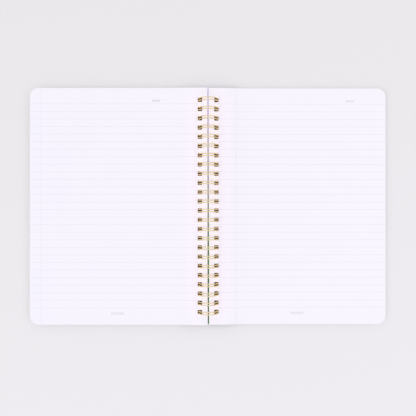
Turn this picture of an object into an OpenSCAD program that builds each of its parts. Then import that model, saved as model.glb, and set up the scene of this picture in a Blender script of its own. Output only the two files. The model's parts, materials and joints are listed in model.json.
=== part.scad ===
// Open notebook with a twin-loop wire binding, lying flat on a table. Sizes are in millimetres.
//
// Frame: the origin is on the table under the middle of the spine. X runs across the spread,
// with the left-hand page at negative X. Y runs along the spine towards the heads of the pages.
// Z is up. Every leaf swings about one axis along Y, through the middle of the rings.

/* [Leaves] */
// Height of a page along the spine
page_h = 217.8; // [100:0.1:300]
// Width of a page, from the middle of the spine to its outer edge
page_w = 164; // [100:1:240]
// Radius of the two outer corners of every leaf
corner_r = 8; // [2:0.5:20]
// Thickness of the left-hand block of pages, away from the spine
left_block_t = 6.4; // [3:0.1:8]
// Thickness of the right-hand block of pages, away from the spine
right_block_t = 3.6; // [2:0.1:4.6]
// Share of its thickness that a block keeps where the wire holds it together
held_share = 0.77; // [0.7:0.01:0.9]
// Least gap between the two blocks at the spine when one is turned onto the other
block_gap = 0.3; // [0.3:0.05:1]
// Thickness of the card of a cover
cover_t = 0.5; // [0.3:0.05:0.7]
// Gap between the two blocks of pages over the spine
spine_gap = 1.1; // [0.8:0.1:2]
// How far the front cover reaches past the middle of the spine
cover_reach = 0.9; // [0.8:0.1:1.4]

/* [Wire] */
// Distance from one twin loop to the next
loop_pitch = 8.466; // [7:0.002:10.2]
// Least distance from either end of a page to the middle of the nearest hole
end_margin = 9.5; // [8:0.5:14]
// How far the row of loops sits above the middle of the pages
row_shift = 0.35; // [0:0.05:1.5]
// Thickness of the wire
wire_d = 0.95; // [0.7:0.01:1.15]
// Radius of a ring, to the middle of the wire
ring_r = 8.7; // [7.2:0.05:10.5]
// Half of the flat at the foot of a ring, where the loops close
foot_half = 1.5; // [1.25:0.05:2]
// Distance between the two wires of one loop
twin_w = 2.1; // [1.9:0.05:2.7]
// Room between the tip of a loop and each side of the mouth that it enters
tip_clear = 0.25; // [0.2:0.05:0.6]

/* [Punching] */
// Side of a punched hole
hole_w = 3.9; // [3.6:0.1:5]
// How much is taken off each sharp corner of a hole, along its diagonal
hole_ease = 0.25; // [0:0.05:0.6]
// Room between the wire and the edge of a hole
hole_clear = 0.325; // [0.3:0.005:0.4]

/* [Lie of the leaves] */
// Width of the level strip of a leaf outside its holes
level_w = 2.5; // [1:0.5:6]
// Width over which a leaf falls from the rings to the table
fall_w = 28; // [20:1:50]
// Gap between the two covers, one above the other at the spine
cover_step = 0.3; // [0.3:0.05:0.5]

/* [Hidden] */
$fn = 64;
// The wire's sizes are kept to a thousandth of a millimetre, so that its bends meet end to end.
wire_r = fine(wire_d / 2);
hoop_r = fine(ring_r);
foot_x = fine(foot_half);
twin_half = fine(twin_w / 2);
pitch = 2 * fine(loop_pitch / 2);
// As many loops as fit between the margins at the two ends of the page.
loops = floor((page_h - 2 * (end_margin + row_shift)) / pitch) + 1;
first_y = fine(row_shift) - (loops - 1) * pitch / 2;
foot_r = hoop_r - foot_x;
foot_z = wire_r;
axis_z = foot_z + foot_r;
// The side bends turn through the larger angle of a 3-4-5 triangle: its cosine is 0.6 and its sine 0.8.
bend_cos = 0.6;
bend_sin = 0.8;
bend_angle = acos(bend_cos);
// Two bends carry a wire aside by its own thickness and the room for the tip.
bend_r = fine((wire_d + tip_clear) / (2 * (1 - bend_cos)));
mouth_half = twin_half + 2 * bend_r * (1 - bend_cos);
mouth_x = 2 * bend_r * bend_sin - foot_x;
root_r = pitch / 2 - mouth_half;
// The outer edge of a hole stands clear of the ring at its widest.
hole_x = hoop_r + wire_r + hole_clear - hole_w / 2;
hole_round_r = hole_w / sqrt(2) - hole_ease;
// How far below the axis the lowest face may lie: there the inner edge of a hole just clears the wire.
low_z = sqrt(pow(foot_r - wire_r - hole_clear, 2) - pow(hole_x - hole_w / 2 - foot_x, 2));
front_lift = axis_z - low_z;
back_lift = front_lift + cover_t + cover_step;
// Where the rings leave the two blocks less room than that share, they are pressed down to the room.
spine_room = 2 * (axis_z - cover_t) - front_lift - back_lift - block_gap;
spine_share = min(held_share, spine_room / (left_block_t + right_block_t));
leaf_in = spine_gap / 2;
fall_start = hole_x + hole_w / 2 + level_w;
fall_end = fall_start + fall_w;
fall_steps = 20;
tall = 60;

// A wire size to the nearest thousandth of a millimetre.
function fine(v) = round(v * 1000) / 1000;

// Where each twin loop stands along the spine.
function loop_y(i) = first_y + i * pitch;

// 1 beside the rings, 0 where the leaf lies on the table, and a smooth fall between them.
function held(x) =
  x <= fall_start ? 1 :
  x >= fall_end ? 0 :
  (1 + cos(180 * (x - fall_start) / (fall_end - fall_start))) / 2;

// The places across the spread at which a leaf's outline has a corner.
function fall_x(k) = fall_start + (fall_end - fall_start) * k / fall_steps;

// The underside and the top of a sheet or a block at one place across the spread.
function under(x, lift, raise) = lift * held(x) + raise;
function over(x, lift, raise, t, share) = under(x, lift, raise) + t * (1 - (1 - share) * held(x));

// The outline of a leaf seen along the spine, from its inner edge out.
function leaf_outline(x_in, lift, raise, t, share) = concat(
  [[x_in, under(x_in, lift, raise)]],
  [for (k = [0 : fall_steps]) [fall_x(k), under(fall_x(k), lift, raise)]],
  [[page_w, under(page_w, lift, raise)]],
  [[page_w, over(page_w, lift, raise, t, share)]],
  [for (k = [fall_steps : -1 : 0]) [fall_x(k), over(fall_x(k), lift, raise, t, share)]],
  [[x_in, over(x_in, lift, raise, t, share)]]
);

// A punched hole: a square with its corners eased.
module hole_plan() {
  intersection() {
    square(hole_w, center = true);
    circle(r = hole_round_r);
  }
}

// A leaf seen from above: square at the spine, rounded at the outer corners, punched along the spine.
module leaf_plan(x_in) {
  difference() {
    translate([x_in, -page_h / 2])
      square([page_w - x_in, page_h]);
    for (s = [-1, 1])
      corner_waste(s);
    for (i = [0 : loops - 1])
      translate([hole_x, loop_y(i)])
        hole_plan();
  }
}

// What the rounding takes off one outer corner.
module corner_waste(s) {
  difference() {
    translate([page_w - corner_r, s > 0 ? page_h / 2 - corner_r : -page_h / 2 - 1])
      square([corner_r + 1, corner_r + 1]);
    translate([page_w - corner_r, s * (page_h / 2 - corner_r)])
      circle(r = corner_r);
  }
}

// One leaf on the right-hand side: its outline along the spine, cut to its plan.
module leaf(x_in, lift, raise, t, share) {
  intersection() {
    rotate([90, 0, 0])
      linear_extrude(height = page_h + 2, center = true)
        polygon(leaf_outline(x_in, lift, raise, t, share));
    translate([0, 0, -1])
      linear_extrude(height = tall)
        leaf_plan(x_in);
  }
}

// The wires of all the loops along one arc about the spine's direction.
module hoop(r, from, sweep) {
  rotate([90, 0, 0])
    rotate_extrude(start = from, angle = sweep)
      for (i = [0 : loops - 1])
        for (s = [-1, 1])
          translate([r, s * twin_half - loop_y(i)])
            circle(r = wire_r);
}

// One bend of the wire lying flat at the foot of the rings.
module flat_bend(r, from, sweep) {
  rotate_extrude(start = from, angle = sweep)
    translate([r, 0])
      circle(r = wire_r);
}

// The two bends that carry one wire sideways, from a loop out to the mouth.
module side_bend(second) {
  if (second)
    translate([mouth_x, mouth_half - bend_r, 0])
      flat_bend(bend_r, 90, bend_angle);
  else
    translate([-foot_x, twin_half + bend_r, 0])
      flat_bend(bend_r, -90, bend_angle);
}

// The one continuous wire: up the left of each loop, over the top, down the right, and back through the tip.
module twin_loop_wire() {
  color("#E6D3AA") {
    translate([0, 0, axis_z])
      hoop(hoop_r, 0, 180);
    translate([foot_x, 0, axis_z])
      hoop(foot_r, -90, 90);
    translate([-foot_x, 0, axis_z])
      hoop(foot_r, 180, 90);
    for (i = [0 : loops - 1])
      translate([foot_x, loop_y(i), foot_z])
        flat_bend(twin_half, 90, 180);
    for (i = [0 : loops - 1], side = [0, 1], second = [false, true])
      translate([0, loop_y(i), foot_z])
        mirror([0, side, 0])
          side_bend(second);
    for (i = [0 : loops - 2])
      translate([mouth_x, loop_y(i) + pitch / 2, foot_z])
        flat_bend(root_r, -90, 180);
  }
}

// The front cover, under the left-hand pages. It reaches past the middle, so the gap shows its inside.
module front_cover() {
  color("#8FA884")
    mirror([1, 0, 0])
      leaf(-cover_reach, front_lift, 0, cover_t, 1);
}

// The turned pages, lying on the front cover.
module left_pages() {
  color("#F8F6FD")
    mirror([1, 0, 0])
      leaf(leaf_in, front_lift, cover_t, left_block_t, spine_share);
}

// The pages still to be turned, lying on the back cover.
module right_pages() {
  color("#F8F6FD")
    leaf(leaf_in, back_lift, cover_t, right_block_t, spine_share);
}

// The back cover, under the right-hand pages.
module back_cover() {
  color("#8FA884")
    leaf(leaf_in, back_lift, 0, cover_t, 1);
}

twin_loop_wire();
front_cover();
left_pages();
right_pages();
back_cover();
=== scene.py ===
# %% [markdown]
# # An open notebook with a twin-loop wire binding
# The notebook lies flat on a table. Two blocks of ruled pages rest on two soft card covers, and one
# continuous wire runs through the punched holes of all four. This lesson makes their looks around a
# fixed frame: the frame says where each piece is and which body it moves with, and nothing here moves
# or resizes it. Lengths are in metres, so sizes are written in millimetres times `MM`.

# %% Load the frame
import json
import math

import bpy
import numpy as np
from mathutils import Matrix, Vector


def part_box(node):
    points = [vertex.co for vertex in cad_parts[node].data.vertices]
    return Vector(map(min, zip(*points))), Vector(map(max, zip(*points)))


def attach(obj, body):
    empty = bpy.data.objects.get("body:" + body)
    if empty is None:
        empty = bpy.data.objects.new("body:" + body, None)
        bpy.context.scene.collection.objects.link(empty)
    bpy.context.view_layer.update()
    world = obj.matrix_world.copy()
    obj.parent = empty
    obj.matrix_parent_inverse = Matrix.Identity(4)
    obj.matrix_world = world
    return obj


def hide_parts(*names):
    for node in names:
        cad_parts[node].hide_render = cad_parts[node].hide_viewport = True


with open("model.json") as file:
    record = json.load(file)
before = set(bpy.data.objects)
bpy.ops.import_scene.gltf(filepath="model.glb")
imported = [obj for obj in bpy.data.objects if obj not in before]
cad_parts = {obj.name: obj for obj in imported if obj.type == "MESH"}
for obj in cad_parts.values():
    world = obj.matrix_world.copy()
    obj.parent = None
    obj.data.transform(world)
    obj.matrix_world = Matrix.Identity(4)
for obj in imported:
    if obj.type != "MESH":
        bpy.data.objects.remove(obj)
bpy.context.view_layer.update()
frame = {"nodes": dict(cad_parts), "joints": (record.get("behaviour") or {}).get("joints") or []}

MM = 0.001

# %% [markdown]
# ## Sizes
# A few sizes are read from the frame, such as the height and width of a leaf, the height of the axis
# that every leaf swings about, and how high each block stands at the spine. The rest are the punch,
# the wire and the print of the pages, written as real sizes.

# %% Sizes of the leaves
leaf_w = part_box("right_pages")[1].x
leaf_h = 2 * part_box("right_pages")[1].y
leaf_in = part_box("right_pages")[0].x
corner_r = 8 * MM
card_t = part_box("right_pages")[0].z
left_t = 6.4 * MM
right_t = 3.6 * MM
left_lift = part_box("front_cover")[1].z - card_t
right_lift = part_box("back_cover")[1].z - card_t
spine_share = (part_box("left_pages")[1].z - card_t - left_lift) / left_t
print(f"a leaf is {leaf_w / MM:.1f} by {leaf_h / MM:.1f} mm")
print(f"it is raised by {left_lift / MM:.2f} mm on the left and {right_lift / MM:.2f} mm on the right")
print(f"at the spine a block keeps {spine_share:.3f} of its thickness")

# %% Sizes of the punching
hole_w = 3.9 * MM
hole_ease = 0.25 * MM
hole_clear = 0.325 * MM
loops = 24
pitch = 8.466 * MM
row_shift = 0.35 * MM
loop_y = row_shift + (np.arange(loops) - (loops - 1) / 2) * pitch
print(f"{loops} pairs of holes from {loop_y[0] / MM:.2f} to {loop_y[-1] / MM:.2f} mm along the spine")

# %% Sizes of the wire
axis_z = frame["joints"][0]["pos_m"][2]
wire_r = 0.475 * MM
ring_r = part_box("twin_loop_wire")[1].x - wire_r
foot_z = wire_r
foot_r = axis_z - foot_z
foot_x = ring_r - foot_r
twin_half = 1.05 * MM
side_bend_r = 1.5 * MM
side_bend = math.acos(0.6)
mouth_half = twin_half + 2 * side_bend_r * (1 - math.cos(side_bend))
mouth_x = 2 * side_bend_r * math.sin(side_bend) - foot_x
root_r = pitch / 2 - mouth_half
print(f"rings of radius {ring_r / MM:.2f} mm about an axis {axis_z / MM:.3f} mm above the table")

# %% [markdown]
# ## From grids of points to a closed mesh
# Every piece below is worked out as grids of points. `grid_faces` numbers the squares between
# neighbouring points, `weld` makes corners that share a place one corner, so that the seams between
# grids are shut, and `closed_mesh` puts the result into Blender. The count of open edges that it
# prints has to be 0: then the piece is a solid with an inside and an outside.

# %% Squares between the points of a grid
def grid_faces(points, wrap=False, flip=False):
    """The squares of k grids of rows by columns points, as corner numbers. wrap joins the last column
    to the first, and flip turns the squares over."""
    k, rows, columns = points.shape[:3]
    corner = np.arange(k * rows * columns).reshape(k, rows, columns)
    here = corner if wrap else corner[:, :, :-1]
    after = np.roll(corner, -1, axis=2) if wrap else corner[:, :, 1:]
    square = [here[:, :-1], after[:, :-1], after[:, 1:], here[:, 1:]]
    faces = np.stack(square, axis=-1).reshape(-1, 4)
    return faces[:, ::-1] if flip else faces


print("a grid of 3 by 3 points has", len(grid_faces(np.zeros((1, 3, 3, 3)))), "squares")

# %% Corners that share a place
same_place = 1e-7


def weld(points, faces):
    """Finds the first corner in each place and numbers the faces by it. A square with a side of no
    length becomes a triangle."""
    place = np.round(points / same_place).astype(np.int64)
    _, first, number = np.unique(place, axis=0, return_index=True, return_inverse=True)
    faces = number.reshape(-1)[faces]
    same = faces == np.roll(faces, 1, axis=1)
    squares = faces[same.sum(axis=1) == 0]
    folded = same.sum(axis=1) == 1
    triangles = faces[folded][~same[folded]].reshape(-1, 3)
    return first, squares, triangles


def open_edges(corners, *face_lists):
    """How many edges run one way only. On a closed solid every edge is also run the other way, by the
    face beside it."""
    sides = [np.stack([faces, np.roll(faces, -1, axis=1)], axis=-1).reshape(-1, 2) for faces in face_lists]
    start, end = np.concatenate(sides).T
    return np.count_nonzero(~np.isin(start * corners + end, end * corners + start))


# %% A closed mesh from grids
def closed_mesh(name, grids, smooth_to=35):
    """Joins grids of points to one mesh. Each grid is a dict of points (k, rows, columns, 3), its wrap
    and flip, and a number, or one number per point, for each named attribute. A welded corner keeps
    the attributes of the first grid that has it. Edges sharper than smooth_to degrees stay sharp."""
    points = np.concatenate([g["points"].reshape(-1, 3) for g in grids])
    starts = np.cumsum([0] + [g["points"].reshape(-1, 3).shape[0] for g in grids])
    faces = np.concatenate([
        grid_faces(g["points"], g.get("wrap", False), g.get("flip", False)) + start
        for g, start in zip(grids, starts)
    ])
    first, squares, triangles = weld(points, faces)

    mesh = bpy.data.meshes.new(name)
    mesh.from_pydata(points[first], [], squares.tolist() + triangles.tolist())
    for attribute in grids[0].get("values", {}):
        values = np.concatenate([
            np.broadcast_to(g["values"][attribute], g["points"].shape[:3]).reshape(-1) for g in grids
        ])
        data = mesh.attributes.new(attribute, "FLOAT", "POINT").data
        data.foreach_set("value", values[first].astype(np.float32))
    mesh.shade_smooth()
    mesh.set_sharp_from_angle(angle=math.radians(smooth_to))
    mesh.validate()

    piece = bpy.data.objects.new(name, mesh)
    bpy.context.scene.collection.objects.link(piece)
    count = 2 * len(squares) + len(triangles)
    print(f"{name}: {count} triangles, {open_edges(len(first), squares, triangles)} open edges")
    return piece


# %% [markdown]
# ## The wire
# A twin-loop binding is one wire, bent flat into a comb of narrow loops and then curled until the tip
# of each loop lies in the mouth where the next two begin. It could be a curve with a bevel, but a bevel
# turns freely about its curve. Here every bend is an arc of a circle, so the two directions across the
# wire are known: one is the axis of the bend, and the other is square to it and to the wire.

# %% One bend of the wire
def upright_bend(centre, radius, start, end, steps, hand):
    """Points along an arc that stands across the spine, from angle start to angle end seen along the
    spine, with the wire's direction at each, and the spine's direction times hand as the side of it."""
    a = np.radians(np.linspace(start, end, steps + 1))
    turn = np.sign(end - start)
    points = np.array(centre) + radius * np.stack([np.cos(a), 0 * a, np.sin(a)], axis=1)
    along = turn * np.stack([-np.sin(a), 0 * a, np.cos(a)], axis=1)
    side = np.broadcast_to([0, hand, 0], along.shape)
    return points, along, side


def flat_bend(centre, radius, start, end, steps):
    """The same for an arc that lies flat at the foot of the rings, from angle start to angle end seen
    from above. Its side is level: the wire's direction turned a quarter to the right."""
    a = np.radians(np.linspace(start, end, steps + 1))
    turn = np.sign(end - start)
    points = np.array(centre) + radius * np.stack([np.cos(a), np.sin(a), 0 * a], axis=1)
    along = turn * np.stack([-np.sin(a), np.cos(a), 0 * a], axis=1)
    side = np.stack([along[:, 1], -along[:, 0], 0 * a], axis=1)
    return points, along, side


# %% One ring
top_steps = 40
flank_steps = 16


def one_ring(y, hand):
    """The three arcs of one ring from the left foot over the top to the right foot, or back if hand
    is -1."""
    arcs = [
        ((-foot_x, y, axis_z), foot_r, 270, 180, flank_steps),
        ((0, y, axis_z), ring_r, 180, 0, top_steps),
        ((foot_x, y, axis_z), foot_r, 0, -90, flank_steps),
    ]
    if hand < 0:
        arcs = [(centre, r, end, start, steps) for centre, r, start, end, steps in reversed(arcs)]
    return [upright_bend(*arc, hand) for arc in arcs]


print(f"the wire of one ring is {math.pi * (ring_r + foot_r) / MM:.1f} mm long")

# %% The path of one loop
side_steps = 5
tip_steps = 14
root_steps = 16
turned = 90 + math.degrees(side_bend)
lead = -90 + math.degrees(side_bend)
way_in = [
    flat_bend((mouth_x, side_bend_r - mouth_half, foot_z), side_bend_r, -90, -turned, side_steps),
    flat_bend((-foot_x, -twin_half - side_bend_r, foot_z), side_bend_r, -lead, 90, side_steps),
]
tip = [flat_bend((foot_x, 0, foot_z), twin_half, -90, -270, tip_steps)]
way_out = [
    flat_bend((-foot_x, twin_half + side_bend_r, foot_z), side_bend_r, -90, lead, side_steps),
    flat_bend((mouth_x, mouth_half - side_bend_r, foot_z), side_bend_r, turned, 90, side_steps),
]
root = [flat_bend((mouth_x, pitch / 2, foot_z), root_r, -90, 90, root_steps)]
loop_bends = way_in + one_ring(-twin_half, 1) + tip + one_ring(twin_half, -1) + way_out + root
loop_path = [np.concatenate([bend[part][:-1] for bend in loop_bends]) for part in range(3)]
print(f"one loop has {len(loop_bends)} bends and {len(loop_path[0])} points")

# %% The whole wire
tube_sides = 12
cut_back = 0.06 * MM
cut_share = 0.86


def wire_tube():
    """Carries a round section along the path of all the loops. A point of the section is the path plus
    the wire's radius times (cosine of the side direction plus sine of the direction square to it). The
    two cut ends are eased by a smaller ring and closed by a ring of no size."""
    steps = np.zeros((loops, 1, 3))
    steps[:, 0, 1] = loop_y
    path = (loop_path[0][None] + steps).reshape(-1, 3)[:-root_steps + 1]
    along = np.tile(loop_path[1], (loops, 1))[:len(path)]
    side = np.tile(loop_path[2], (loops, 1))[:len(path)]

    # Each end is there three times: closed, eased, and full a little way in.
    last = len(path) - 1
    rows = np.array([0, 0, 0, *range(1, last), last, last, last])
    path, along, side = path[rows], along[rows], side[rows]
    path[2] += along[2] * cut_back
    path[-3] -= along[-3] * cut_back
    radius = np.full(len(path), wire_r)
    radius[[0, -1]] = 0
    radius[[1, -2]] = wire_r * cut_share

    turn = 2 * np.pi * np.arange(tube_sides) / tube_sides
    square = np.cross(along, side)
    ring = np.cos(turn)[None, :, None] * side[:, None] + np.sin(turn)[None, :, None] * square[:, None]
    return path[:, None] + radius[:, None, None] * ring


tube = wire_tube()
binding = closed_mesh("wire_loops", [{"points": tube[None], "wrap": True}], smooth_to=50)
wire_length = np.linalg.norm(np.diff(tube.mean(axis=1), axis=0), axis=1).sum()
print(f"the wire is {wire_length:.2f} m long")
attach(binding, "binding")
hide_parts("twin_loop_wire")

# %% [markdown]
# ## The leaves
# A block of pages is a pile of sheets with one outline: square at the spine, rounded at the outer
# corners and punched along the spine. It could be made sheet by sheet, but only the edges of the inner
# sheets are ever seen, so one closed surface with a row of points for every sheet shows the same. The
# pile stands level beside the rings and falls in a smooth curve to the table. So one function gives the
# height of any sheet at any place across the spread, and the same plan serves the top, the underside
# and the walls of the block.

# %% The fall of a leaf from the rings to the table
hole_x = ring_r + wire_r + hole_clear - hole_w / 2
level_w = 2.5 * MM
fall_start = hole_x + hole_w / 2 + level_w
fall_w = 28 * MM
print(f"a leaf falls from {fall_start / MM:.1f} to {(fall_start + fall_w) / MM:.1f} mm off the spine")


def height(x, depth, lift, thick):
    """Height of a sheet above the table at x. depth is 0 for the lowest sheet and 1 for the top one. The
    leaf is raised by lift beside the rings and by nothing past the fall, with half a cosine wave
    between, and keeps only a share of its thickness where it is raised."""
    held = (1 + np.cos(np.pi * np.clip((x - fall_start) / fall_w, 0, 1))) / 2
    return card_t + lift * held + depth * thick * (1 - (1 - spine_share) * held)


# %% Plan of one cell of the punched strip
ray_step = 15


def outline_at(angle, right, left, half):
    """Where a ray from the middle of a hole meets the rectangle round it."""
    c, s = np.cos(angle), np.sin(angle)
    across = np.where(c > 0, right, -left) / np.maximum(np.abs(c), 1e-9)
    up = half / np.maximum(np.abs(s), 1e-9)
    reach = np.minimum(across, up)
    return reach[:, None] * np.stack([c, s], axis=1)


cell_right = fall_start - hole_x
cell_left = leaf_in - hole_x
hole_round_r = hole_w / math.sqrt(2) - hole_ease
eased = math.acos(hole_w / 2 / hole_round_r)
turns = np.radians(np.arange(-180, 180, ray_step))
corners = [
    eased, math.pi / 2 - eased, math.pi / 2 + eased, math.pi - eased,
    math.atan2(pitch / 2, cell_right), math.atan2(pitch / 2, cell_left),
]
ray = np.unique(np.round(np.concatenate([turns, corners, np.negative(corners)]), 12))
square_reach = hole_w / 2 / np.maximum(np.abs(np.cos(ray)), np.abs(np.sin(ray)))
hole_reach = np.minimum(square_reach, hole_round_r)
hole_plan = hole_reach[:, None] * np.stack([np.cos(ray), np.sin(ray)], axis=1)
cell_plan = outline_at(ray, cell_right, cell_left, pitch / 2)
print(f"each hole has {len(ray)} corners")

# %% Places along the spine
on_right = np.isclose(cell_plan[:, 0], cell_right)
on_left = np.isclose(cell_plan[:, 0], cell_left)
on_top = np.isclose(cell_plan[:, 1], pitch / 2)
right_ys = np.sort(cell_plan[on_right, 1])
left_ys = np.sort(cell_plan[on_left, 1])
strip_xs = hole_x + np.sort(cell_plan[on_top, 0])
row_low = loop_y[0] - pitch / 2
row_high = loop_y[-1] + pitch / 2
corner_y = leaf_h / 2 - corner_r
end_steps = 14


def end_ys(edge):
    """Places along the spine from the last cell to the end of the leaf, closer together towards the
    end, as equal steps round the corner's circle give them."""
    start = math.asin(min(max((edge - corner_y) / corner_r, 0), 1))
    return corner_y + corner_r * np.sin(np.linspace(start, np.pi / 2, end_steps + 1))


def row_of(ys):
    """The corners of every cell along one of its sides, as one sorted row."""
    return (loop_y[:, None] + ys[None, :-1]).ravel()


low_ys = -end_ys(-row_low)[::-1]
high_ys = end_ys(row_high)
low_ys[-1] = row_low
high_ys[0] = row_high
field_ys = np.concatenate([low_ys[:-1], row_of(right_ys), high_ys])
inner_ys = np.concatenate([low_ys[:-1], row_of(left_ys), high_ys])
print(f"the leaf is cut into {len(field_ys)} rows along the spine")

# %% Places across the leaf
fall_steps = 24
field_steps = 26
fall_xs = fall_start + fall_w * np.arange(fall_steps + 1) / fall_steps


def outer_x(y):
    """How far the leaf reaches at y: its full width, less what the rounded corner takes off."""
    past = np.clip(np.abs(y) - corner_y, 0, corner_r)
    return leaf_w - corner_r + np.sqrt(np.maximum(corner_r**2 - past**2, 0))


def field_xs(y):
    """Places across the leaf at y: fixed ones down the fall, then even ones out to the edge."""
    out = (outer_x(y)[..., None] - fall_xs[-1]) * np.arange(1, field_steps + 1) / field_steps
    fixed = np.broadcast_to(fall_xs, (*np.shape(y), len(fall_xs)))
    return np.concatenate([fixed, fall_xs[-1] + out], axis=-1)


print(f"a row outside the punched strip has {fall_steps + field_steps + 1} points")

# %% The outline of a leaf, once round
gap_lean = 0.19 * MM
gap_opening = 0.13 * MM
widest_y = -52 * MM
opening_reach = 60 * MM


def inner_x(y, side):
    """The edge at the spine. Loose sheets hang uneven, so the gap between the blocks leans a little,
    and it opens a little below the middle: by a cosine wave that is highest at widest_y."""
    wave = (1 + np.cos(np.pi * np.clip((y - widest_y) / opening_reach, -1, 1))) / 2
    return leaf_in - side * gap_lean * y / (leaf_h / 2) + gap_opening * wave


def leaf_rim(side):
    """The outline as points in order, seen from above: up the spine, out along the heads, down the
    outer edge and back along the feet, with the outward direction at each point."""
    spine = np.stack([inner_x(inner_ys, side), inner_ys], axis=1)
    heads_x = np.concatenate([strip_xs[1:-1], field_xs(high_ys[-1:])[0]])
    heads = np.stack([heads_x, np.full(len(heads_x), leaf_h / 2)], axis=1)
    outer = np.stack([outer_x(field_ys), field_ys], axis=1)[::-1][1:-1]
    feet = heads[::-1] * [1, -1]
    rim = np.concatenate([spine, heads, outer, feet])
    ahead = np.roll(rim, -1, axis=0) - np.roll(rim, 1, axis=0)
    out = np.stack([-ahead[:, 1], ahead[:, 0]], axis=1)
    return rim, out / np.linalg.norm(out, axis=1)[:, None]


print(f"once round, a leaf has {len(leaf_rim(1)[0])} corners")

# %% The plan of a whole leaf
hole_places = np.stack([np.full(loops, hole_x), loop_y], axis=1)


def leaf_plans(side):
    """The plan in three parts: the cells round the holes, the two ends of the punched strip, and the
    field from there to the outer edge."""
    cells = np.stack([hole_plan, cell_plan])[None] + hole_places[:, None, None]
    ends = np.stack([np.stack(np.meshgrid(strip_xs, ys), axis=-1) for ys in (low_ys, high_ys)])
    for plan in (cells, ends):
        at_spine = np.isclose(plan[..., 0], leaf_in)
        plan[..., 0] = np.where(at_spine, inner_x(plan[..., 1], side), plan[..., 0])
    field_x = field_xs(field_ys)
    field = np.stack([field_x, np.broadcast_to(field_ys[:, None], field_x.shape)], axis=-1)[None]
    return cells, ends, field


# %% How the sheets of a block lie
sheet_slack = 0.11 * MM
sheet_ease = 0.14 * MM


def sheet_moves(sheets, seed):
    """How far each sheet is shifted and drawn in. Loose sheets on rings lie up to sheet_slack off each
    other, and all but the lowest and the top one are drawn in, so that none reaches past those."""
    rng = np.random.default_rng(seed)
    shift = sheet_slack * rng.uniform(-1, 1, (sheets + 1, 2))
    draw = np.full(sheets + 1, sheet_ease)
    shift[[0, -1]] = 0
    draw[[0, -1]] = 0
    return shift, draw


print(f"a sheet is shifted by up to {sheet_slack / MM:.2f} mm and drawn in by {sheet_ease / MM:.2f} mm")

# %% One leaf as a closed solid
def leaf(name, side, lift, thick, sheets, seed):
    """A pile of sheets as one closed surface. side is 1 for the right-hand page and -1 for the
    left-hand one. The attribute sheet is the depth in the pile, edge is 1 on the cut walls, and hole
    is 1 on the walls of the holes."""
    def lifted(plan, depth):
        z = height(plan[..., 0], depth, lift, thick)
        return np.stack([side * plan[..., 0], plan[..., 1], z], axis=-1)

    cells, ends, field = leaf_plans(side)
    grids = []
    for depth, up in ((1.0, True), (0.0, False)):
        face = {"values": {"sheet": depth, "edge": 0.0, "hole": 0.0}}
        grids.append({**face, "points": lifted(cells, depth), "wrap": True, "flip": up == (side > 0)})
        grids.append({**face, "points": lifted(ends, depth), "flip": up != (side > 0)})
        grids.append({**face, "points": lifted(field, depth), "flip": up != (side > 0)})

    depths = np.linspace(0, 1, sheets + 1)
    shift, draw = sheet_moves(sheets, seed)
    rim, out = leaf_rim(side)
    moved = (out[None] * shift[:, None]).sum(axis=-1) - draw[:, None]
    walls = rim[None] + out[None] * moved[..., None]
    deep = np.broadcast_to(depths[:, None], walls.shape[:2])
    values = {"sheet": deep[None], "edge": 1.0, "hole": 0.0}
    grids.append({"points": lifted(walls, deep)[None], "values": values, "wrap": True, "flip": side > 0})

    punched = cells[:, 0][:, None] + shift[None, :, None]
    deep = np.broadcast_to(depths[None, :, None], punched.shape[:3])
    values = {"sheet": deep, "edge": 1.0, "hole": 1.0}
    grids.append({"points": lifted(punched, deep), "values": values, "wrap": True, "flip": side > 0})
    return closed_mesh(name, grids)


# %% The two blocks of pages
left_sheets = 44
right_sheets = 28
left_block = leaf("left_leaves", -1, left_lift, left_t, left_sheets, seed=5)
right_block = leaf("right_leaves", 1, right_lift, right_t, right_sheets, seed=8)
for block, body, node, slot in (
    (left_block, "left_block", "left_pages", "left_paper"),
    (right_block, "right_block", "right_pages", "right_paper"),
):
    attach(block, body)
    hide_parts(node)

# %% [markdown]
# ## Shader maths
# A material is a tree of nodes. Written out node by node it is hard to read, so one small class stands
# for a socket: an operator such as + or < on it adds the Math node that does the same. Colours go
# through Mix nodes, because a Math node would turn them grey, and `add` makes any other node. Inside the
# materials, lengths are plain millimetres.

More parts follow.
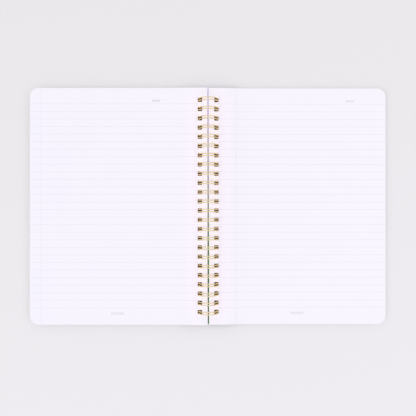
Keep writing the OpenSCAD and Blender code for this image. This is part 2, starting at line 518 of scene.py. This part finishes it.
# %% One socket, with operators
class Socket:
    """An output of a shader node that takes part in expressions."""

    def __init__(self, tree, output=None):
        self.tree = tree
        self.output = output

    def add(self, kind, settings=None, inputs=None, output=0):
        """Adds a node of this kind, sets its settings first, then its sockets, and gives one output.
        The setting named stops holds the places and colours of a colour ramp."""
        node = self.tree.nodes.new(kind)
        for name, value in (settings or {}).items():
            if name == "stops":
                ramp = node.color_ramp
                while len(ramp.elements) < len(value):
                    ramp.elements.new(1.0)
                for stop, (place, colour) in zip(ramp.elements, value):
                    stop.position = place
                    stop.color = colour
            else:
                setattr(node, name, value)
        for name, value in (inputs or {}).items():
            if isinstance(value, Socket):
                self.tree.links.new(value.output, node.inputs[name])
            else:
                node.inputs[name].default_value = value
        return Socket(self.tree, node.outputs[output])

    def math(self, operation, *values):
        """Adds one Math node on these values."""
        return self.add("ShaderNodeMath", {"operation": operation}, dict(enumerate(values)))

    def __add__(self, other):
        return self.math("ADD", self, other)

    __radd__ = __add__

    def __sub__(self, other):
        return self.math("SUBTRACT", self, other)

    def __rsub__(self, other):
        return self.math("SUBTRACT", other, self)

    def __mul__(self, other):
        return self.math("MULTIPLY", self, other)

    __rmul__ = __mul__

    def __truediv__(self, other):
        return self.math("DIVIDE", self, other)

    def __mod__(self, other):
        return self.math("FLOORED_MODULO", self, other)

    def __lt__(self, other):
        return self.math("LESS_THAN", self, other)

    def __gt__(self, other):
        return self.math("GREATER_THAN", self, other)

    def __abs__(self):
        return self.math("ABSOLUTE", self)

    def at_least(self, low):
        return self.math("MAXIMUM", self, low)

    def at_most(self, high):
        return self.math("MINIMUM", self, high)

    def fade(self, start, end):
        """1 up to start and 0 past end, with a smooth step between."""
        return self.add(
            "ShaderNodeMapRange", {"interpolation_type": "SMOOTHSTEP"},
            {"Value": self, "From Min": start, "From Max": end, "To Min": 1.0, "To Max": 0.0},
        )

    def mix(self, low, high):
        """The colour low where this is 0 and the colour high where it is 1."""
        return self.add(
            "ShaderNodeMix", {"data_type": "RGBA"}, {"Factor": self, 6: low, 7: high}, 2
        )

    def parts(self):
        """The three numbers of a vector, which come out of one node."""
        node = self.add("ShaderNodeSeparateXYZ", None, {0: self}).output.node
        return [Socket(self.tree, output) for output in node.outputs]


# %% Colours and new materials
def srgb(red, green, blue):
    """A colour in everyday 0 to 255 steps as the linear light that a shader takes, with its alpha."""
    c = np.array([red, green, blue]) / 255
    linear = np.where(c <= 0.04045, c / 12.92, ((c + 0.055) / 1.055) ** 2.4)
    return (*linear.tolist(), 1.0)


black = srgb(0, 0, 0)


def new_finish(name, **constants):
    """A new material with a Principled shader whose plain sockets are set, and its maker of nodes."""
    material = bpy.data.materials.new(name)
    material.use_nodes = True
    shader = material.node_tree.nodes["Principled BSDF"]
    for socket, value in constants.items():
        shader.inputs[socket.replace("_", " ")].default_value = value
    return material, shader, Socket(material.node_tree)


def feed(shader, **values):
    """Links what changes over a surface to the shader's sockets, and counts the nodes behind them."""
    for socket, value in values.items():
        value.tree.links.new(value.output, shader.inputs[socket.replace("_", " ")])
    print(f"{len(shader.id_data.nodes)} nodes for", ", ".join(values).replace("_", " "))


# %% Coordinates, noise and bumps
def millimetres(nodes):
    """The piece's own coordinates in millimetres, as a vector and as three numbers."""
    own = nodes.add("ShaderNodeTexCoord", output="Object")
    scaled = nodes.add("ShaderNodeVectorMath", {"operation": "SCALE"}, {0: own, "Scale": 1 / MM})
    return scaled, *scaled.parts()


def noise(nodes, where, scale, detail=2.0, roughness=0.5):
    """A soft random number from 0 to 1. scale is in waves a millimetre."""
    return nodes.add(
        "ShaderNodeTexNoise", {"noise_dimensions": "3D"},
        {"Vector": where, "Scale": scale, "Detail": detail, "Roughness": roughness},
    )


def bump(nodes, relief, depth_mm, strength):
    """A normal that leans as if the surface rose by depth_mm where relief is 1."""
    return nodes.add(
        "ShaderNodeBump", None,
        {"Height": relief, "Distance": depth_mm * MM, "Strength": strength},
    )


# %% [markdown]
# ## Gold wire
# The wire is steel with a thin satin coat of pale gold. It could be pure metal, but under soft light
# metal shows little more than what it mirrors. So it is three parts metal and one part paint, and the
# finish lives in small changes of roughness: drawn wire has fine streaks and a few duller places. On the
# flanks of the rings, down by the holes, the gold is painted deeper: painted shade of the holes.

# %% Gold
pale_gold = srgb(244, 225, 184)
dull_gold = srgb(232, 211, 162)
# Painted shade: a deeper gold for the flanks of the rings, where they go down into the holes.
painted_shade_gold = srgb(249, 205, 94)
top_to = 4.5
flank_from = 8.5

gold, shader, nodes = new_finish("gold_wire", Metallic=0.75, IOR=1.45)
where, x, *_ = millimetres(nodes)
cloud = noise(nodes, where, 0.35)
streaks = noise(nodes, where, 6.0, detail=3.0)
# Painted shade: the flanks, down by the holes, take the deeper gold.
flank = 1 - abs(x).fade(top_to, flank_from)
tone = (0.6 * flank).mix(cloud.mix(dull_gold, pale_gold), painted_shade_gold)
feed(
    shader, Base_Color=tone, Roughness=0.16 + 0.1 * streaks + 0.08 * cloud,
    Normal=bump(nodes, streaks, depth_mm=0.004, strength=0.6),
)
binding.data.materials.append(gold)

# %% [markdown]
# ## Ruled paper
# Both sides of every sheet carry the same print: fine rules from edge to edge, one upright margin
# line, and a small mark at the head and foot. The print could be a picture laid on the page, but lines
# drawn from the distance to them stay sharp however near the camera comes. They are drawn on the piece's
# own coordinates, so they stay on the paper when the block turns. The paper is a cool white that varies
# a little at random and is painted lighter and warmer towards the right: painted light. Beside the rings
# it is painted whiter and faintly pink, and under the rings the faces of a block glow a little: painted
# light.

# %% The print of a page, in millimetres
rule_pitch = 6.946
top_rule = 94.25
rules = 28
rule_half = 0.14
back_margin = 153.5
front_margin = 25.8
back_head = 47.9
front_head = 131.0
back_foot = 83.3
front_foot = 82.2
mark_high = 97.1
mark_low = -98.6
soft_half = 0.025
print(f"{rules} rules from {top_rule:.1f} down to {top_rule - (rules - 1) * rule_pitch:.1f} mm")


def line(distance, half):
    """1 on a line and 0 off it, with a soft edge of a twentieth of a millimetre."""
    return distance.fade(half - soft_half, half + soft_half)


def dashes(across, up, centre_x, centre_y, count, step, width, tall):
    """A short row of plain dashes."""
    from_start = across - (centre_x - count * step / 2)
    inside = (from_start > 0) * (from_start < count * step)
    in_step = abs(from_start % step - step / 2)
    return inside * line(in_step, width / 2) * line(abs(up - centre_y), tall / 2)


def page_print(out, y, is_front):
    """How much ink of each kind there is at a place. out is the distance from the spine, and is_front is
    1 on the side of a sheet that lies on the right-hand page."""
    from_rule = (top_rule - y + rule_pitch / 2) % rule_pitch - rule_pitch / 2
    in_rules = (y < top_rule + 1) * (y > top_rule - (rules - 1) * rule_pitch - 1)
    rule = line(abs(from_rule), rule_half) * in_rules
    margin = line(abs(out - (back_margin + is_front * (front_margin - back_margin))), rule_half)
    head_x = back_head + is_front * (front_head - back_head)
    foot_x = back_foot + is_front * (front_foot - back_foot)
    head = dashes(out, y, head_x, mark_high, count=4, step=2.0, width=1.35, tall=1.9)
    foot = dashes(out, y, foot_x, mark_low, count=6, step=2.0, width=1.4, tall=2.3)
    return rule, margin, head, foot


# %% The printed face of a sheet
cool_white = srgb(240.2, 238, 249)
warm_and_lit_white = srgb(246.5, 241.5, 250)
# Painted light: a whiter, faintly pink tone for the paper beside the spine, along the rings.
painted_light_white = srgb(249, 242, 254.5)
fibre_grey = srgb(226, 222, 232)
rule_ink = srgb(222, 218, 232)
margin_ink = srgb(220, 216, 230)
mark_ink = srgb(170, 168, 176)
spread_w = 330
pink_to = 10.0
white_from = 25.0


def printed_face(out, x, y, is_front, cloud, fibre, beside_rings):
    """The tone of the paper with its print, painted lighter towards the right and beside the spine."""
    # Painted light: lighter and warmer towards the right, mixed with a tone that varies at random.
    painted_light_rightward = 0.5 + x / spread_w
    tone = (0.4 * cloud + 0.6 * painted_light_rightward).mix(cool_white, warm_and_lit_white)
    # Painted light: whiter beside the spine, most along the rings, where the rings shade the paper.
    painted_light_by_spine = out.fade(pink_to, white_from) * (0.4 + 0.6 * beside_rings)
    tone = painted_light_by_spine.mix(tone, painted_light_white)
    tone = (0.06 * fibre).mix(tone, fibre_grey)
    rule, margin, head, foot = page_print(out, y, is_front)
    tone = (0.75 * rule).mix(tone, rule_ink)
    tone = (0.8 * margin).mix(tone, margin_ink)
    ink = (0.42 - 0.08 * is_front) * head + 0.27 * foot
    return ink.mix(tone, mark_ink)


# %% The cut walls of a block
wall_shade = srgb(226, 222, 226)
wall_white = srgb(247, 245, 248)
between_sheets = srgb(176, 170, 172)
# Painted shade: a dark, warm colour for the walls of the punched holes, where shade falls in them.
painted_hole_shade = srgb(58, 36, 14)


def cut_wall(nodes, x, y, layer, hole):
    """The tone of a cut edge, with how uneven it is and where the sheets part. layer is the height in
    the pile, counted in sheets. The walls of the punched holes are painted dark and warm: painted shade."""
    stretched = nodes.add("ShaderNodeCombineXYZ", None, {"X": x * 0.02, "Y": y * 0.02, "Z": layer})
    uneven = noise(nodes, stretched, 0.9, detail=3.0, roughness=0.7)
    parting = (abs(layer % 1.0 - 0.5) > 0.4) * 0.5
    wall = uneven.mix(wall_shade, wall_white)
    wall = (parting * uneven).mix(wall, between_sheets)
    return (0.97 * hole).mix(wall, painted_hole_shade), uneven, parting


# %% Paper
row_half = 98.0
row_fade = 6.0
# Painted light: near the spine, along the rings, the faces of a block glow a little with this colour.
light_to = 7.5
plain_from = 10.5
painted_glow = (0.1, 0.108, 0.105, 1.0)


def paper(name, side, sheets):
    """Ruled paper for one block. The cut walls show the sheets as fine uneven lines."""
    material, shader, nodes = new_finish(name, Roughness=0.72, IOR=1.4, Emission_Strength=1.0)
    where, x, y, _ = millimetres(nodes)
    sheet, edge, hole = (
        nodes.add("ShaderNodeAttribute", {"attribute_name": attribute}, output="Fac")
        for attribute in ("sheet", "edge", "hole")
    )
    is_top = sheet > 0.5
    is_front = is_top if side > 0 else 1 - is_top
    cloud = noise(nodes, where, 0.03)
    fibre = noise(nodes, where, 3.0, detail=4.0, roughness=0.6)
    beside_rings = abs(y - row_shift / MM).fade(row_half, row_half + row_fade)
    face = printed_face(side * x, x, y, is_front, cloud, fibre, beside_rings)
    wall, uneven, parting = cut_wall(nodes, x, y, sheet * sheets, hole)
    # Painted light: where the faces of a block glow, close to the spine and along the rings.
    painted_glow_mask = abs(x).fade(light_to, plain_from) * beside_rings
    relief = fibre * (1 - edge) + 4.0 * edge * (uneven - parting)
    feed(
        shader, Base_Color=edge.mix(face, wall),
        Emission_Color=(painted_glow_mask * (1 - edge)).mix(black, painted_glow),
        Normal=bump(nodes, relief, depth_mm=0.01, strength=0.5),
    )
    return material


left_block.data.materials.append(paper("ruled_paper_left", -1, left_sheets))
right_block.data.materials.append(paper("ruled_paper_right", 1, right_sheets))

# %% [markdown]
# ## Soft card covers
# The covers could be made anew like the blocks, but they keep the frame's own solids, because their
# shape is right. Through the narrow gap between the blocks they show a plain blend of two colours,
# lavender at the heads and green towards the feet, so both covers carry that blend as one colour ramp
# along the spine. A cut edge shows the pale core of the card. In the strip right under the gap the green
# is painted deeper towards the feet, as painted shade of the gap, and the card there glows a little in
# its own colours, more of it towards the heads: painted light.

# %% Card
card_blend = [
    (0.0, srgb(118, 186, 110)),
    (0.2, srgb(92, 166, 80)),
    (0.38, srgb(96, 162, 84)),
    (0.5, srgb(152, 162, 150)),
    (0.63, srgb(184, 177, 198)),
    (0.9, srgb(212, 199, 238)),
]
fibre_white = srgb(240, 240, 240)
# Painted shade: a deeper green for the strip of card under the gap between the blocks.
painted_gap_shade_green = srgb(44, 164, 34)
card_core = srgb(236, 232, 226)
strip_half = 0.9


def card(name):
    """Matt printed card: a blend along the spine, fine fibres, and a pale core at the cut edges."""
    material, shader, nodes = new_finish(name, Roughness=0.62, IOR=1.45, Emission_Strength=1.0)
    where, x, y, _ = millimetres(nodes)
    level = abs(nodes.add("ShaderNodeTexCoord", output="Normal").parts()[2])
    waver = noise(nodes, where, 0.012)
    along = (y + 16 * (waver - 0.5)) / (leaf_h / MM) + 0.5
    blend = nodes.add("ShaderNodeValToRGB", {"stops": card_blend}, {"Fac": along})
    fibre = noise(nodes, where, 1.6, detail=4.0, roughness=0.6)
    tone = (0.12 * fibre).mix(blend, fibre_white)
    in_strip = line(abs(x), strip_half)
    at_feet = 0.8 * along.fade(0.3, 0.6)
    # Painted shade: the strip under the gap is deeper green towards the feet.
    tone = (in_strip * at_feet).mix(tone, painted_gap_shade_green)
    is_edge = level < 0.5
    feed(
        # Painted light: the strip under the gap glows a little in the card's own blend, more towards the
        # heads.
        shader, Base_Color=is_edge.mix(tone, card_core),
        Emission_Color=(in_strip * (0.02 + 0.34 * along)).mix(black, blend),
        Roughness=0.56 + 0.14 * fibre, Normal=bump(nodes, fibre, depth_mm=0.02, strength=0.5),
    )
    return material


for node in ("front_cover", "back_cover"):
    cover = frame["nodes"][node]
    cover.data.materials.clear()
    cover.data.materials.append(card(node + "_card"))
    print(node, "is", len(cover.data.polygons), "triangles of the frame")

# %% [markdown]
# ## Table, light and camera
# The notebook lies on a pale, seamless surface under a large soft light. Lamps alone could light it,
# but a wire mirrors all that is round it, so most of the light comes from a sky that is brightest
# overhead and weaker towards the horizon. Two broad lamps, one on each side, add a little more, the
# left one the most.

# %% The surface under the notebook
table_half = 3.0
# Painted light: the surface is coloured darker towards the top left and lighter towards the bottom right.
table_shade = srgb(229, 227, 229)
table_white = srgb(235, 232.5, 237.5)
blend_w = 800

floor_mesh = bpy.data.meshes.new("table_top")
floor_points = table_half * np.array([[-1, -1, 0], [1, -1, 0], [1, 1, 0], [-1, 1, 0]])
floor_mesh.from_pydata(floor_points.tolist(), [], [(0, 1, 2, 3)])
floor = bpy.data.objects.new("table_top", floor_mesh)
bpy.context.scene.collection.objects.link(floor)
surface, shader, nodes = new_finish("pale_surface", Roughness=0.8, IOR=1.3)
_, x, y, _ = millimetres(nodes)
# Painted light: a gradient lighter towards the bottom right of the table.
painted_light_gradient = (0.5 + (0.5 * x - 1.3 * y) / blend_w).at_least(0.0).at_most(1.0)
feed(shader, Base_Color=painted_light_gradient.mix(table_shade, table_white))
floor_mesh.materials.append(surface)

# %% The sky
horizon = 0.6
overhead = 1.11

sky = bpy.data.worlds.new("sky")
bpy.context.scene.world = sky
sky.use_nodes = True
nodes = Socket(sky.node_tree)
upward = nodes.add("ShaderNodeTexCoord", output="Generated").parts()[2]
background = sky.node_tree.nodes["Background"]
background.inputs["Color"].default_value = srgb(255, 255, 255)
feed(background, Strength=horizon + (overhead - horizon) * upward.at_least(0.0))

# %% Two lamps
lamp_size = 0.9


def softbox(name, place, watts):
    """A square lamp at place that faces the middle of the notebook."""
    data = bpy.data.lights.new(name, "AREA")
    data.size = lamp_size
    data.energy = watts
    lamp = bpy.data.objects.new(name, data)
    lean = math.atan2(math.hypot(place[0], place[1]), place[2])
    yaw = math.atan2(place[1], place[0])
    lamp.rotation_euler = (0, lean, yaw)
    lamp.location = place
    bpy.context.scene.collection.objects.link(lamp)
    print(f"{name}: {watts} W, {math.hypot(*place):.2f} m away")


softbox("left_lamp", (-1.3, -0.3, 1.5), 3.7)
softbox("right_lamp", (1.3, -0.1, 1.5), 2.3)

# %% Camera
# The camera looks straight down. Its height and field come from how the rings lean outwards towards
# the heads and feet of the spine, and from how much larger the thicker block looks.
picture_side = 416
focal_px = 546
sensor_w = 36

camera_data = bpy.data.cameras.new("camera")
camera_data.sensor_width = sensor_w
camera_data.lens = sensor_w * focal_px / picture_side
camera = bpy.data.objects.new("camera", camera_data)
camera.location = (-0.15 * MM, -1.55 * MM, 508.9 * MM)
bpy.context.scene.collection.objects.link(camera)
bpy.context.scene.camera = camera
bpy.context.scene.view_settings.view_transform = "Standard"
print(f"camera {camera.location.z / MM:.1f} mm above the table, lens {camera_data.lens:.1f} mm")
